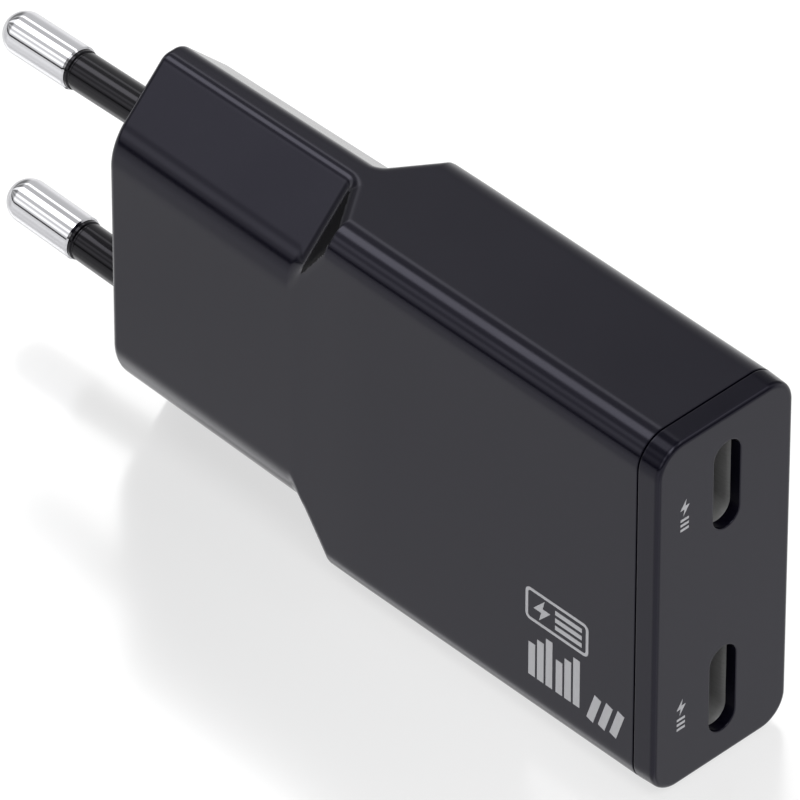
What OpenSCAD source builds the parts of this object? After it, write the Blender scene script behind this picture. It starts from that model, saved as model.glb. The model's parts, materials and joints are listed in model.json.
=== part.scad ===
// Slim wall charger with two round plug pins and two USB-C ports.
// Frame: the origin is the middle of the plug face, +X runs from the plug face to the
// port face, +Z runs along the pins' spacing and +Y is the body's thickness.
// The pins stand out of the plug face towards -X.

/* [Body] */
// Width of the body along the pins' spacing
body_w = 36; // [35.6:0.1:37]
// Thickness of the main body
body_t = 15.1; // [15:0.1:15.6]
// Length from the plug face to the port face
body_len = 63.4; // [63:0.1:68]
// Radius of the long edges
edge_r = 2.8; // [2.4:0.1:2.9]
// Thickness of the housing's walls
wall = 1.8; // [1.7:0.05:1.85]
// Thickness of the end cap's plate
cap_t = 2.3; // [2:0.1:2.4]
// Radius around the end cap's outer face
cap_edge_r = 0.4; // [0.2:0.05:0.6]

/* [Plug] */
// Thickness of the plug section
plug_t = 14.7; // [14.5:0.1:14.8]
// Half the body's thickness plus half its width, measured to a bevel's plane
bevel_sum = 19.05; // [19:0.01:19.2]
// Distance from the plug face to the foot of the flare
flare_x = 22.6; // [22:0.1:22.8]
// Radius in the foot of the flare
flare_foot_r = 1.9; // [1:0.1:2.2]
// Distance between the pins at the plug face
pin_pitch_face = 18.5; // [18:0.1:19.2]
// Distance between the pins at their tips
pin_pitch_tip = 17.6; // [17.4:0.1:18]
// Length of the pins outside the plug face
pin_len = 19.4; // [18.6:0.1:19.5]
// Diameter of the pins' metal ends
pin_d = 4; // [3.95:0.01:4.05]
// Diameter of the pins' insulating sleeves
sleeve_d = 3.6; // [3.4:0.05:3.8]
// Length of the sleeves outside the plug face
sleeve_len = 11; // [10:0.1:11.2]

/* [Ports] */
// Distance between the ports' centres
port_pitch = 21.3; // [20.8:0.1:21.4]
// Distance of the ports' centres behind the body's middle plane
port_y = 0.2; // [0:0.05:0.3]
// Width of a port's opening in the end cap
slot_w = 8.8; // [8.6:0.05:8.9]
// Height of a port's opening in the end cap
slot_h = 2.9; // [2.7:0.05:3]
// Depth of the lip in front of a port's shell
slot_lip = 1.1; // [0.8:0.1:1.3]

/* [Hidden] */

$fn = 64;
eps = 0.01;
upper = 1;
lower = -1;

plastic_black = "#242428";
plastic_gloss = "#141416";
nickel = "#c9cace";
steel = "#a8a9ad";
board_green = "#1d5b3a";
copper = "#b8733a";

// Housing
plug_face_t = 2.2;
bevel_n = bevel_sum / sqrt(2);
front_bevel_r = 4;
ridge_bevel_r = 1.4;
bevel_root = tan(22.5);
flare_start_x = flare_x - flare_foot_r * bevel_root;
flare_h = 6;
front_ramp = 6;
seam_x = body_len - cap_t;
seam_gap = 0.15;
cavity_t = body_t - 2 * wall;
cavity_w = body_w - 2 * wall;
cavity_r = edge_r - wall;
cavity_x = flare_x + 3.6;
plug_cavity_t = plug_t - 2 * wall;
plug_cavity_sum = bevel_sum - wall * sqrt(2);
plug_cavity_w = cavity_w - 0.4;

// End cap's skirt and hooks
fit_gap = 0.1;
skirt_len = 3;
skirt_t = 0.9;
skirt_inner_r = 0.5;
hook_w = 5;
hook_h = 0.45;
hook_len = 1.4;
hook_x = seam_x - 2.6;
hook_lead = 0.2;
shoulder_inset = 0.5;
shoulder_len = 1;

// Rails that hold the board's long edges
rail_t = 0.55;
rail_reach = 0.8;
rail_gap = 0.05;
rail_x = [45.5, 56];

// Pins
pin_tilt = atan((pin_pitch_face - pin_pitch_tip) / 2 / pin_len);
pin_neck_d = 3;
pin_collar_d = 4.6;
pin_collar_t = 1.2;
pin_tail_d = 2.4;
sleeve_root = 4.5;
pin_tail_end = 9.2;
carrier_x = [plug_face_t + fit_gap, 7.3];
carrier_w = 27;
terminal_x = [7.9, 13];
terminal_t = 0.5;
terminal_w = 4;
terminal_foot_w = 2;

// USB-C receptacles
shell_w = 8.94;
shell_h = 3.16;
shell_wall = 0.3;
shell_len = 7.4;
shell_x = body_len - slot_lip;
shell_back = 1.2;
shell_play = 0.06;
tongue_setback = 1.8;
tongue_w = 6.69;
tongue_t = 0.7;
contact_count = 12;
contact_pitch = 0.5;
contact_w = 0.25;
contact_t = 0.05;
contact_setback = 0.5;

// Board. Its front side, towards -Y, carries the tall parts.
board_t = 1;
board_front = port_y + shell_h / 2;
board_back = board_front + board_t;
board_x = [10, 27, seam_x - 3.7, seam_x - 0.7];
board_half_w = [12, 15.6, 14.5];
spreader_t = 0.4;
spreader_y = cavity_t / 2 - spreader_t;
film_t = 0.25;

// Places of the large parts on the board, as [x, z]
transformer_at = [36.4, 9.2];
transformer_size = [15.6, 12.3];
transformer_leg = 1.4;
core_half_t = 4.9;
core_plate_t = 1.9;
core_post_r = 2.4;
bulk_r = 4;
bulk_len = 16;
bulk_x = 28.2;
bulk_z = [-11.4, -3.3];
choke_at = [20.3, 6];
choke_r = [2.4, 4.8];
choke_h = 4.2;
choke_wire = 0.6;
winding_angle = 140;
board_cut_gap = 0.25;
bobbin_t = 0.5;
bobbin_play = 0.15;
window_h = 2 * (core_half_t - core_plate_t);
bobbin_r = transformer_size.y / 2 - transformer_leg;
spool_h = (window_h - 3 * bobbin_t) / 2;
leg_setback = 1;

// Places on the board, as [x, z], and sizes of the other parts
fuse_at = [15.3, -11];
fuse_size = [1.8, 9];
fuse_cap_len = 1.6;
varistor_at = [10.9, 4.6];
varistor_size = [3, 2.6];
x_capacitor_at = [21.3, -6.4];
x_capacitor_size = [6.4, 6.2, 10.6];
bridge_at = [16, -3];
bridge_size = [6.4, 1.4, 8.3];
switch_at = [23.4, 5];
switch_size = [6, 0.9, 8];
y_capacitor_at = [45.4, 5];
y_capacitor_size = [2.9, 2.4];
optocoupler_at = [47.2, 0];
optocoupler_size = [4.4, 1.9, 3.6];
rectifier_at = [48.5, 9.5];
rectifier_size = [6, 1, 5];
output_can_x = 49.4;
output_can_z = [-11.4, -4.6];
output_can_size = [3.1, 6];
output_choke_at = [51, 8.4];
output_choke_size = [5.6, 3, 6.4];
protocol_at = [54.6, 9.6];
protocol_size = [4, 0.8, 4];
chip_size = [1.6, 0.5, 0.8];
port_chips = [58.3, 12.4];
port_chip_step = 1.5;
bridge_chips = [11.6, -6];
bridge_chip_step = 3;
lead_r = 0.3;
lead_half_gap = 1.5;
lead_stand_off = 0.5;

// Heat spreaders, pads and film
spreader_x = [28.5, 57];
spreader_half_w = 14.6;
film_x = [28, 56.8];
film_half_w = 15.75;
film_stop = 0.8;
pad_margin = 0.2;

// ---- helpers -------------------------------------------------------------

// Extrudes a profile drawn in Y and Z from x0 to x1
module along_x(x0, x1) {
  translate([x0, 0, 0]) rotate([90, 0, 90]) linear_extrude(x1 - x0) children();
}

// Extrudes a profile drawn in X and Z from y0 to y1
module along_y(y0, y1) {
  translate([0, y1, 0]) rotate([90, 0, 0]) linear_extrude(y1 - y0) children();
}

// A box between two corners
module block(low, high) {
  translate(low) cube(high - low);
}

module round_rect(a, b, r) {
  square([a - 2 * r, b], center = true);
  square([a, b - 2 * r], center = true);
  for (i = [-1, 1], j = [-1, 1]) translate([i * (a / 2 - r), j * (b / 2 - r)]) circle(r);
}

// A slot with round ends, long in Z
module slot(w, h) {
  square([h, w - h], center = true);
  for (j = [-1, 1]) translate([0, j * (w - h) / 2]) circle(h / 2);
}

// An eight-sided outline: t thick, w wide, with bevels where |y| + |z| = sum
module bevelled(t, w, sum) {
  y1 = t / 2;
  z1 = sum - y1;
  z2 = w / 2;
  y2 = sum - z2;
  polygon([[y1, -z1], [y1, z1], [y2, z2], [-y2, z2], [-y1, z1], [-y1, -z1], [-y2, -z2], [y2, -z2]]);
}

// The same outline with rounded corners: r1 at the large faces, r2 at the narrow ones
module round_bevelled(t, w, sum, r1, r2) {
  y1 = t / 2;
  z1 = sum - y1;
  z2 = w / 2;
  y2 = sum - z2;
  d1 = r1 * bevel_root;
  d2 = r2 * bevel_root;
  k = sqrt(0.5);
  quarter = [[y1, z1 - d1], [y1 - d1 * k, z1 + d1 * k], [y2 + d2 * k, z2 - d2 * k], [y2 - d2, z2]];
  other = [for (i = [3:-1:0]) [-quarter[i].x, quarter[i].y]];
  top = concat(quarter, other);
  polygon(concat(top, [for (p = top) -p]));
  for (i = [-1, 1], j = [-1, 1]) {
    translate([i * (y1 - r1), j * (z1 - d1)]) circle(r1);
    translate([i * (y2 - d2), j * (z2 - r2)]) circle(r2);
  }
}

// Places children on a pin's axis: local +Z runs out of the plug face, towards the tip
module on_pin(side) {
  translate([0, 0, side * pin_pitch_face / 2]) rotate([0, -90 - side * pin_tilt, 0]) children();
}

// Places children at a port: local origin in the middle of the port, at the port face
module at_port(side) {
  translate([0, port_y, side * port_pitch / 2]) children();
}

// ---- housing -------------------------------------------------------------

// What is taken off one corner of the full section, along the plug and up the flare.
// It is drawn in X and in the distance from the body's axis, square to the bevel.
module flare_cutter() {
  rise = flare_h;
  d = flare_foot_r * bevel_root;
  k = sqrt(0.5);
  rotate([90, 0, 0]) linear_extrude(body_w, center = true) {
    polygon([
      [flare_start_x - 1, bevel_n], [flare_x - d, bevel_n], [flare_x + d * k, bevel_n + d * k],
      [flare_x + rise, bevel_n + rise], [flare_start_x - 1, bevel_n + rise]
    ]);
    translate([flare_x - d, bevel_n + flare_foot_r]) circle(flare_foot_r);
  }
}

// Brings the main body's large face down to the plug section's, on one side
module face_ramp(side) {
  depth = (body_t - plug_t) / 2;
  y0 = body_t / 2;
  mirror([0, side < 0 ? 1 : 0, 0]) translate([0, 0, -body_w / 2]) linear_extrude(body_w) polygon([
    [flare_start_x - 1, y0 - depth], [flare_start_x, y0 - depth],
    [flare_start_x + front_ramp, y0], [flare_start_x + front_ramp, y0 + 1], [flare_start_x - 1, y0 + 1]
  ]);
}

module housing_outside() {
  along_x(0, flare_start_x + eps) round_bevelled(plug_t, body_w, bevel_sum, front_bevel_r, ridge_bevel_r);
  difference() {
    along_x(flare_start_x, seam_x) round_rect(body_t, body_w, edge_r);
    for (a = [45, 135, 225, 315]) rotate([a, 0, 0]) flare_cutter();
    for (side = [-1, 1]) face_ramp(side);
  }
}

// Rails inside the housing that hold the board's long edges
module board_rails() {
  for (side = [-1, 1], y = [board_front - rail_gap - rail_t, board_back + rail_gap]) {
    z0 = side > 0 ? cavity_w / 2 - rail_reach : -cavity_w / 2 - eps;
    block([rail_x[0], y, z0], [rail_x[1], y + rail_t, z0 + rail_reach + eps]);
  }
}

module main_housing() {
  color(plastic_black) {
    difference() {
      housing_outside();
      along_x(plug_face_t, cavity_x + 1) bevelled(plug_cavity_t, plug_cavity_w, plug_cavity_sum);
      along_x(cavity_x, seam_x + 1) round_rect(cavity_t, cavity_w, cavity_r);
      for (side = [upper, lower]) {
        on_pin(side) translate([0, 0, -plug_face_t - 1]) cylinder(d = sleeve_d, h = plug_face_t + 3);
        translate([hook_x, 0, side * cavity_w / 2])
          cube([hook_len + 0.4, hook_w + 0.4, 2 * (hook_h + fit_gap)], center = true);
      }
    }
    board_rails();
  }
}

// A flat plate between x0 and x1, rounded all round its outer face
module cap_plate(x0, x1, r) {
  long = x1 - x0;
  module half_profile(half) {
    square([long, half - r]);
    square([long - r, half]);
    translate([long - r, half - r]) circle(r);
  }
  module full_profile(half) {
    half_profile(half);
    mirror([0, 1]) half_profile(half);
  }
  translate([x0, 0, 0]) {
    translate([0, 0, -(body_w / 2 - edge_r)]) linear_extrude(body_w - 2 * edge_r) full_profile(body_t / 2);
    translate([0, body_t / 2 - edge_r, 0]) rotate([90, 0, 0])
      linear_extrude(body_t - 2 * edge_r) full_profile(body_w / 2);
    for (i = [-1, 1], j = [-1, 1])
      translate([0, i * (body_t / 2 - edge_r), j * (body_w / 2 - edge_r)]) rotate([0, 90, 0])
        rotate_extrude() {
          square([edge_r, long - r]);
          square([edge_r - r, long]);
          translate([edge_r - r, long - r]) circle(r);
        }
  }
}

module snap_hook(side) {
  tip = cavity_w / 2 - fit_gap;
  mirror([0, 0, side < 0 ? 1 : 0]) along_y(-hook_w / 2, hook_w / 2) polygon([
    [hook_x - hook_len / 2, tip - hook_lead], [hook_x - hook_len / 2, tip],
    [hook_x + hook_len / 2 - hook_lead, tip + hook_h], [hook_x + hook_len / 2, tip + hook_h],
    [hook_x + hook_len / 2, tip - hook_lead]
  ]);
}

module end_cap() {
  skirt_out_t = cavity_t - 2 * fit_gap;
  skirt_out_w = cavity_w - 2 * fit_gap;
  color(plastic_black) difference() {
    union() {
      cap_plate(seam_x + seam_gap, body_len, cap_edge_r);
      along_x(seam_x, seam_x + shoulder_len)
        round_rect(body_t - 2 * shoulder_inset, body_w - 2 * shoulder_inset, edge_r - shoulder_inset);
      along_x(seam_x - skirt_len, seam_x + eps) round_rect(skirt_out_t, skirt_out_w, cavity_r);
      for (side = [upper, lower]) snap_hook(side);
    }
    along_x(seam_x - skirt_len - 1, seam_x)
      round_rect(skirt_out_t - 2 * skirt_t, skirt_out_w - 2 * skirt_t, skirt_inner_r);
    for (side = [upper, lower]) at_port(side) {
      along_x(seam_x - 1, body_len + 1) slot(slot_w, slot_h);
      along_x(seam_x - 1, shell_x) slot(shell_w + shell_play, shell_h + shell_play);
    }
  }
}

// ---- plug ----------------------------------------------------------------

module pin(side) {
  tip_r = pin_d / 2;
  color(nickel) on_pin(side) {
    translate([0, 0, sleeve_len]) cylinder(d = pin_d, h = pin_len - sleeve_len - tip_r);
    translate([0, 0, pin_len - tip_r]) sphere(tip_r);
    translate([0, 0, -sleeve_root]) cylinder(d = pin_neck_d, h = sleeve_root + sleeve_len + 1);
    translate([0, 0, -sleeve_root - pin_collar_t]) cylinder(d = pin_collar_d, h = pin_collar_t);
    translate([0, 0, -pin_tail_end]) cylinder(d = pin_tail_d, h = pin_tail_end - sleeve_root);
  }
}

module pin_sleeve(side) {
  color(plastic_gloss) on_pin(side) translate([0, 0, -sleeve_root]) difference() {
    cylinder(d = sleeve_d, h = sleeve_root + sleeve_len);
    translate([0, 0, -1]) cylinder(d = pin_neck_d, h = sleeve_root + sleeve_len + 2);
  }
}

module pin_carrier() {
  color("#d9d6cb") difference() {
    along_x(carrier_x[0], carrier_x[1])
      bevelled(plug_cavity_t - 2 * fit_gap, carrier_w, plug_cavity_sum - 2 * fit_gap);
    for (side = [upper, lower]) on_pin(side) {
      translate([0, 0, -sleeve_root]) cylinder(d = sleeve_d, h = sleeve_root);
      translate([0, 0, -sleeve_root - pin_collar_t]) cylinder(d = pin_collar_d, h = pin_collar_t + eps);
      translate([0, 0, -pin_tail_end]) cylinder(d = pin_tail_d, h = pin_tail_end);
    }
  }
}

// A strip with a hole for the pin's tail and a foot soldered to the board
module pin_terminal(side) {
  x0 = terminal_x[0];
  z0 = side * (pin_pitch_face / 2 + x0 * tan(pin_tilt));
  half = terminal_w / 2;
  foot = terminal_foot_w / 2;
  color(copper) difference() {
    union() {
      block([x0, -half, z0 - half], [x0 + terminal_t, board_front, z0 + half]);
      block([x0, board_front - terminal_t, z0 - foot], [terminal_x[1], board_front, z0 + foot]);
    }
    on_pin(side) translate([0, 0, -pin_tail_end - 1]) cylinder(d = pin_tail_d, h = pin_tail_end + 1);
  }
}

// ---- board and its parts -------------------------------------------------

// The large cans and the transformer sit in cut-outs that are open at the board's long edges
module main_board() {
  gap = board_cut_gap;
  color(board_green) along_y(board_front, board_back) difference() {
    polygon([
      [board_x[0], -board_half_w[0]], [board_x[1], -board_half_w[0]], [board_x[1], -board_half_w[1]],
      [board_x[2], -board_half_w[1]], [board_x[2], -board_half_w[2]], [board_x[3], -board_half_w[2]],
      [board_x[3], board_half_w[2]], [board_x[2], board_half_w[2]], [board_x[2], board_half_w[1]],
      [board_x[1], board_half_w[1]], [board_x[1], board_half_w[0]], [board_x[0], board_half_w[0]]
    ]);
    translate(transformer_at - transformer_size / 2 - [gap, gap])
      square([transformer_size.x + 2 * gap, body_w]);
    translate([bulk_x - gap, bulk_z[1] + bulk_r + gap - body_w])
      square([bulk_len + 2 * gap, body_w]);
  }
}

// A part in a box-shaped package on the board's front or back side, at [x, z]
module package(at, size, front = false) {
  y0 = front ? board_front - size.y : board_back;
  block([at.x - size.x / 2, y0, at.y - size.z / 2], [at.x + size.x / 2, y0 + size.y, at.y + size.z / 2]);
}

module fuse() {
  r = fuse_size[0];
  len = fuse_size[1];
  tube_step = 0.1;
  color("#e8e2cf") translate([fuse_at.x, board_front - r, fuse_at.y]) {
    cylinder(r = r - tube_step, h = len);
    for (z = [0, len - fuse_cap_len]) translate([0, 0, z]) cylinder(r = r, h = fuse_cap_len);
  }
}

// A lacquered disc that stands across the board on two leads
module disc_part(at, size) {
  r = size[0];
  t = size[1];
  translate([at.x, board_front - r - lead_stand_off, at.y]) rotate([0, 90, 0]) cylinder(r = r, h = t);
  for (dz = [-lead_half_gap, lead_half_gap])
    translate([at.x + t / 2, board_front - r, at.y + dz]) rotate([-90, 0, 0]) cylinder(r = lead_r, h = r);
}

module varistor() {
  color("#2f6f9e") disc_part(varistor_at, varistor_size);
}

module x_capacitor() {
  color("#c9a227") package(x_capacitor_at, x_capacitor_size, front = true);
}

module place_choke() {
  translate([choke_at.x, board_front - choke_wire, choke_at.y]) rotate([90, 0, 0]) children();
}

module choke_core() {
  color("#3c4a3e") place_choke() rotate_extrude() {
    translate([choke_r[0] + choke_wire, 0]) square([choke_r[1] - choke_r[0] - 2 * choke_wire, choke_h]);
  }
}

// Enamelled wire laid closely round one side of the ring
module choke_winding(start) {
  place_choke() rotate([0, 0, start]) rotate_extrude(angle = winding_angle) difference() {
    translate([choke_r[0], -choke_wire]) square([choke_r[1] - choke_r[0], choke_h + 2 * choke_wire]);
    translate([choke_r[0] + choke_wire, 0]) square([choke_r[1] - choke_r[0] - 2 * choke_wire, choke_h]);
  }
}

module choke_winding_line() {
  color(copper) choke_winding(20);
}

module choke_winding_neutral() {
  color("#a3552c") choke_winding(200);
}

module bridge_rectifier() {
  color("#1c1c1e") package(bridge_at, bridge_size);
}

module gan_switch() {
  color("#1c1c1e") package(switch_at, switch_size);
}

// A can with a rolled groove and a rubber bung, lying along X through a cut-out
module bulk_capacitor(z) {
  color("#2b3f6b") translate([bulk_x, 0, z]) rotate([0, 90, 0]) rotate_extrude() polygon([
    [0, 0.4], [bulk_r - 0.9, 0.4], [bulk_r - 0.9, 0], [bulk_r, 0], [bulk_r, 1.4], [bulk_r - 0.4, 1.8],
    [bulk_r - 0.4, 2.2], [bulk_r, 2.6], [bulk_r, bulk_len - 0.3], [bulk_r - 0.3, bulk_len], [0, bulk_len]
  ]);
}

// One half of the ferrite core: a plate, two side legs and a round middle post
module core_half(side) {
  x = transformer_at.x;
  z = transformer_at.y;
  sx = transformer_size.x / 2;
  sz = transformer_size.y / 2;
  color("#37373a") mirror([0, side < 0 ? 1 : 0, 0]) {
    block([x - sx, core_half_t - core_plate_t, z - sz], [x + sx, core_half_t, z + sz]);
    for (j = [-1, 1]) {
      z0 = j > 0 ? z + sz - transformer_leg : z - sz;
      block([x - sx + leg_setback, 0, z0],
        [x + sx - leg_setback, core_half_t - core_plate_t, z0 + transformer_leg]);
    }
    translate([x, core_half_t - core_plate_t, z]) rotate([90, 0, 0])
      cylinder(r = core_post_r, h = core_half_t - core_plate_t);
  }
}

module place_winding() {
  translate([transformer_at.x, 0, transformer_at.y]) rotate([90, 0, 0]) children();
}

module transformer_bobbin() {
  r0 = core_post_r;
  color("#e6e0d2") place_winding() rotate_extrude() difference() {
    translate([r0, -window_h / 2]) square([bobbin_r - r0, window_h]);
    for (i = [0, 1]) translate([r0 + bobbin_t, -window_h / 2 + bobbin_t + i * (window_h - bobbin_t) / 2])
      square([bobbin_r, spool_h]);
  }
}

// A winding between two of the bobbin's flanges
module winding(level) {
  r0 = core_post_r + bobbin_t;
  place_winding() rotate_extrude()
    translate([r0, -window_h / 2 + bobbin_t + level * (window_h - bobbin_t) / 2])
      square([bobbin_r - r0 - bobbin_play, spool_h]);
}

module primary_winding() {
  color(copper) winding(0);
}

module secondary_winding() {
  color("#d8b23a") winding(1);
}

module y_capacitor() {
  color("#3b7fc0") disc_part(y_capacitor_at, y_capacitor_size);
}

module optocoupler() {
  color("#e9e9e4") package(optocoupler_at, optocoupler_size);
}

module sync_rectifier() {
  color("#1c1c1e") package(rectifier_at, rectifier_size);
}

module output_capacitor(z) {
  r = output_can_size[0];
  h = output_can_size[1];
  color("#b9babd") translate([output_can_x, board_front, z]) rotate([90, 0, 0]) rotate_extrude() polygon([
    [0, 0], [r, 0], [r, 1], [r - 0.3, 1.3], [r - 0.3, 1.6], [r, 1.9], [r, h - 0.3], [r - 0.3, h], [0, h]
  ]);
}

module output_choke() {
  color("#4a4a4c") package(output_choke_at, output_choke_size, front = true);
}

module protocol_ics() {
  color("#1c1c1e") for (side = [upper, lower]) package([protocol_at.x, side * protocol_at.y], protocol_size);
}

// Chip resistors and capacitors in a row behind each port and one by the bridge
module chip_parts() {
  color("#8a6a4a") {
    for (side = [upper, lower], i = [0:3])
      package([port_chips.x, side * (port_chips.y - i * port_chip_step)], chip_size);
    for (i = [0:4]) package([bridge_chips.x, bridge_chips.y + i * bridge_chip_step], chip_size);
  }
}

// ---- USB-C receptacles ---------------------------------------------------

module usb_shell(side) {
  color(steel) at_port(side) along_x(shell_x - shell_len, shell_x) difference() {
    slot(shell_w, shell_h);
    slot(shell_w - 2 * shell_wall, shell_h - 2 * shell_wall);
  }
}

module usb_tongue(side) {
  back = shell_x - shell_len;
  color(plastic_gloss) at_port(side) {
    along_x(back, back + shell_back) slot(shell_w - 2 * shell_wall, shell_h - 2 * shell_wall);
    block([back, -tongue_t / 2, -tongue_w / 2], [shell_x - tongue_setback, tongue_t / 2, tongue_w / 2]);
  }
}

module usb_contacts(side) {
  x0 = shell_x - shell_len + shell_back;
  x1 = shell_x - tongue_setback - contact_setback;
  color("#d4af37") at_port(side) for (i = [0:contact_count - 1], face = [0, 1]) {
    z = (i - (contact_count - 1) / 2) * contact_pitch;
    y = face == 0 ? tongue_t / 2 : -tongue_t / 2 - contact_t;
    block([x0, y, z - contact_w / 2], [x1, y + contact_t, z + contact_w / 2]);
  }
}

// ---- heat spreading and insulation ---------------------------------------

module heat_spreader(side) {
  y0 = side > 0 ? spreader_y : -cavity_t / 2;
  color("#c4c5c7")
    block([spreader_x[0], y0, -spreader_half_w], [spreader_x[1], y0 + spreader_t, spreader_half_w]);
}

// Pads that carry heat from the flat packages to the rear spreader
module thermal_pads() {
  module pad(at, size) {
    half_x = size.x / 2 - pad_margin;
    half_z = size.z / 2 - pad_margin;
    block([at.x - half_x, board_back + size.y, at.y - half_z], [at.x + half_x, spreader_y, at.y + half_z]);
  }
  color("#b7c4d6") {
    pad(rectifier_at, rectifier_size);
    for (side = [upper, lower]) pad([protocol_at.x, side * protocol_at.y], protocol_size);
  }
}

// A film folded up along both sides, between the tall parts and the front spreader
module insulation_film() {
  half = film_half_w;
  y0 = -spreader_y;
  color("#e0b878") {
    block([film_x[0], y0, -half], [film_x[1], y0 + film_t, half]);
    for (z = [-half, half - film_t])
      block([film_x[0], y0, z], [film_x[1], board_front - film_stop, z + film_t]);
  }
}

// ---- assembly ------------------------------------------------------------

main_housing();
end_cap();
pin_carrier();
pin(upper);  // pin_upper
pin(lower);  // pin_lower
pin_sleeve(upper);  // pin_sleeve_upper
pin_sleeve(lower);  // pin_sleeve_lower
pin_terminal(upper);  // pin_terminal_upper
pin_terminal(lower);  // pin_terminal_lower
main_board();
fuse();
varistor();
x_capacitor();
choke_core();
choke_winding_line();
choke_winding_neutral();
bridge_rectifier();
bulk_capacitor(bulk_z[0]);  // bulk_capacitor_1
bulk_capacitor(bulk_z[1]);  // bulk_capacitor_2
gan_switch();
core_half(-1);  // transformer_core_front
core_half(1);  // transformer_core_back
transformer_bobbin();
primary_winding();
secondary_winding();
y_capacitor();
optocoupler();
sync_rectifier();
output_capacitor(output_can_z[0]);  // output_capacitor_1
output_capacitor(output_can_z[1]);  // output_capacitor_2
output_choke();
protocol_ics();
chip_parts();
usb_shell(upper);  // usb_shell_upper
usb_shell(lower);  // usb_shell_lower
usb_tongue(upper);  // usb_tongue_upper
usb_tongue(lower);  // usb_tongue_lower
usb_contacts(upper);  // usb_contacts_upper
usb_contacts(lower);  // usb_contacts_lower
heat_spreader(-1);  // heat_spreader_front
heat_spreader(1);  // heat_spreader_back
thermal_pads();
insulation_film();
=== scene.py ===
import json
import math
import bmesh
import bpy
import numpy as np
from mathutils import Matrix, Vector


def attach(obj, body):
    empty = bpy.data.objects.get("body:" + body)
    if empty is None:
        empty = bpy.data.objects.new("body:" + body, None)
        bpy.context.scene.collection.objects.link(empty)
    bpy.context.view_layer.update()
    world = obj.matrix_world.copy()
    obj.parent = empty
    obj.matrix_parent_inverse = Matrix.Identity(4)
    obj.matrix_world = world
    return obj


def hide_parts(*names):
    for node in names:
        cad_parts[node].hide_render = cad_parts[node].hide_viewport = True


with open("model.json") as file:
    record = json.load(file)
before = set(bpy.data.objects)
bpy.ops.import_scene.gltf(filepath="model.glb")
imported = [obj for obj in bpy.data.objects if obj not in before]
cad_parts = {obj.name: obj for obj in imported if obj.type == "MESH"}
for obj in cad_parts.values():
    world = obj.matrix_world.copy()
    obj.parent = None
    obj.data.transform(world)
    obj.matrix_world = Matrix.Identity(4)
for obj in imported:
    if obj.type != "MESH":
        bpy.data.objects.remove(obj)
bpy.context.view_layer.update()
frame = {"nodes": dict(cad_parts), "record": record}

MM = 0.001
UPPER, LOWER = 1, -1
SIDE_NAMES = {UPPER: "upper", LOWER: "lower"}

# ---- sizes, in millimetres ------------------------------------------------
# They are those of the CAD, with finer drafts, roundings and gaps.

HALF_T, HALF_W = 7.55, 18.0        # main body
EDGE_R = 2.8
BODY_LEN, SEAM_X, SEAM_GAP = 63.4, 61.12, 0.16
WALL, PLUG_FACE_T = 1.8, 2.2
GUARD = 0.04                       # strip beside a rounding that keeps a flat face's shading flat
INK = 0.02                         # thickness of the printed marks
FLARE_X, FLARE_START, FLARE_END = 22.6, 21.8, 26.6
FLARE_FOOT_R = 1.9
# The plug section's half thickness, half width and half sum at the plug face, and what each gains
# from there to the flare
PLUG_HALF_T, PLUG_DRAFT_T = 7.05, 0.38
PLUG_HALF_W, PLUG_DRAFT_W = 17.70, 0.30
BEVEL_SUM, BEVEL_DRAFT = 18.62, 0.43
FRONT_BEVEL_R, FRONT_BEVEL_R_AT_FLARE = 5.7, 0.9    # rounding between a bevel and a large face
RIDGE_BEVEL_R, RIDGE_BEVEL_R_AT_FLARE = 1.46, 1.3   # rounding between a bevel and a narrow side
FACE_R, SEAM_R = 0.7, 0.05                          # round the plug face and along the seam
PIN_HOLE_PLAY, PIN_HOLE_LEAD = 0.03, 0.15
CAP_EDGE_R, CAP_LIP_R, CAP_DRAFT = 0.42, 0.1, 0.05
SKIRT_LEN, SKIRT_T, FIT_GAP = 3.0, 0.9, 0.1
SHELL_PLAY = 0.06                                   # between the cap and a receptacle shell
PIN_PITCH_FACE, PIN_PITCH_TIP, PIN_LEN = 18.5, 17.6, 19.4
PIN_R, PIN_NECK_R, PIN_COLLAR_R, PIN_TAIL_R = 1.96, 1.5, 2.3, 1.2
SLEEVE_R, SLEEVE_LEN, SLEEVE_ROOT = 1.73, 11.0, 4.5
PIN_COLLAR_T, PIN_TAIL_END = 1.2, 9.2
PORT_PITCH, PORT_Y = 21.3, 0.2
SLOT_W, SLOT_H, SLOT_LIP = 8.8, 2.9, 1.1
SHELL_W, SHELL_H, SHELL_WALL, SHELL_LEN = 8.94, 3.16, 0.3, 7.4
SHELL_X = BODY_LEN - SLOT_LIP


# ---- camera --------------------------------------------------------------

CAMERA_LENS, SENSOR_WIDTH = 564.9, 36
CAMERA_PLACE, CAMERA_TARGET = (580.81, -530.43, 650.53), (26.70, 0, -3.17)
CLIP_START, CLIP_END = 0.05, 20    # metres


def make_camera():
    data = bpy.data.cameras.new("camera")
    data.lens = CAMERA_LENS
    data.sensor_width = SENSOR_WIDTH
    data.clip_start, data.clip_end = CLIP_START, CLIP_END
    cam = bpy.data.objects.new("camera", data)
    bpy.context.scene.collection.objects.link(cam)
    place, target = Vector(CAMERA_PLACE) * MM, Vector(CAMERA_TARGET) * MM
    cam.location = place
    cam.rotation_mode = "QUATERNION"
    cam.rotation_quaternion = (target - place).to_track_quat("-Z", "Y")
    bpy.context.scene.camera = cam


make_camera()


# ---- node helpers --------------------------------------------------------

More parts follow.
